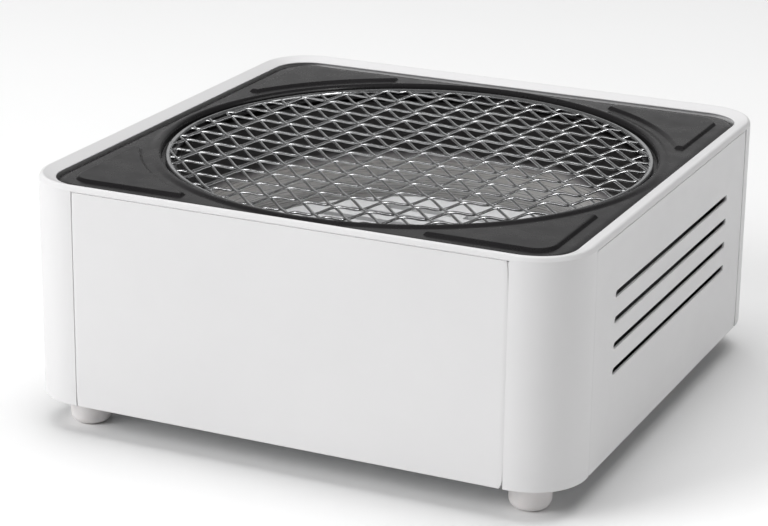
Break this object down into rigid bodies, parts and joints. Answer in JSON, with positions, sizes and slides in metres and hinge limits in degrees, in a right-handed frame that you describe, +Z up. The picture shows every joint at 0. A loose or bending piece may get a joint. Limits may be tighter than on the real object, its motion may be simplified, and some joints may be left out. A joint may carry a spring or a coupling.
{
  "type": "portable charcoal barbecue",
  "caption": "Square table-top charcoal barbecue: white sheet housing with side air slots, black drop-in top plate with a round woven grilling mesh, lift-out charcoal pan, rubber feet.",
  "frame": {"origin": "middle of the footprint, on the plane that the four feet stand on", "axes": "+Z up, -Y towards the plain front panel, +X towards the right-hand side panel with the air slots"},
  "size_m": [0.325, 0.325, 0.147],
  "materials": {
    "white_coat": "fine satin powder coat",
    "black_enamel": "satin black heat-proof coat",
    "mesh_steel": "bright drawn wire",
    "stainless_pan": "spun and brushed",
    "grate_iron": "dull dark iron",
    "zinc_sheet": "zinc-plated sheet",
    "fastener_steel": "zinc-plated",
    "foot_rubber": "milky grey silicone rubber"
  },
  "bodies": {
    "housing": {"top_frame": "white_coat", "front_panel": "white_coat", "right_side_panel": "white_coat", "rear_panel": "white_coat", "left_side_panel": "white_coat", "base_tray": "zinc_sheet", "support_ledge": "zinc_sheet", "heat_shield": "zinc_sheet", "shield_brackets": "zinc_sheet", "shield_screws": "fastener_steel", "base_screws": "fastener_steel", "hex_nuts": "fastener_steel", "foot_front_left": "foot_rubber", "foot_front_right": "foot_rubber", "foot_rear_left": "foot_rubber", "foot_rear_right": "foot_rubber", "foot_washers": "fastener_steel", "foot_screws": "fastener_steel", "ash_tray": "zinc_sheet"},
    "charcoal_pan": {"pan_wall": "stainless_pan", "pan_floor": "stainless_pan", "pan_flange": "stainless_pan", "charcoal_grate": "grate_iron", "grate_feet": "grate_iron"},
    "grill_plate": {"grill_plate": "black_enamel"},
    "wire_mesh": {"mesh_ring": "mesh_steel", "mesh_wires_lower": "mesh_steel", "mesh_wires_upper": "mesh_steel"}
  },
  "joints": [
    {"name": "pan_lift", "type": "slide", "parent": "housing", "child": "charcoal_pan", "axis": [0, 0, 1], "range_m": [0, 0.12]},
    {"name": "plate_lift", "type": "slide", "parent": "charcoal_pan", "child": "grill_plate", "axis": [0, 0, 1], "range_m": [0, 0.06]},
    {"name": "mesh_lift", "type": "slide", "parent": "grill_plate", "child": "wire_mesh", "axis": [0, 0, 1], "range_m": [0, 0.05]}
  ]
}
